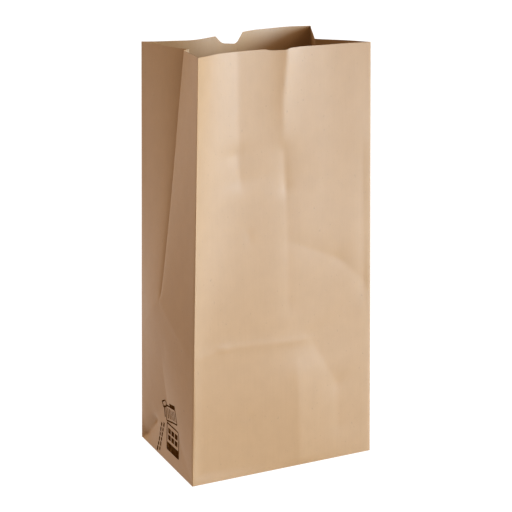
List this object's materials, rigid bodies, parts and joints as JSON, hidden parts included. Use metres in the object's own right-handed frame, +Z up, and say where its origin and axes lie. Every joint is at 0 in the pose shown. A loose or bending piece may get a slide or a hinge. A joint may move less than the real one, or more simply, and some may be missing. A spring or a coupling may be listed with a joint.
{
  "type": "brown paper lunch bag",
  "caption": "Open, free-standing kraft paper bag with a flat folded base, pleated sides and a thumb notch in the back rim.",
  "frame": {"origin": "middle of the base rectangle, on the surface that the bag stands on", "axes": "+Z up out of the mouth, -Y out of the front panel, -X out of the left side panel, +Y out of the back panel with the thumb notch"},
  "size_m": [0.1421, 0.0978, 0.281],
  "materials": {
    "kraft_paper": "uncoated brown kraft paper, matt, with fine fibres and flecks"
  },
  "bodies": {
    "root": {"paper_bag": "kraft_paper"}
  },
  "joints": []
}
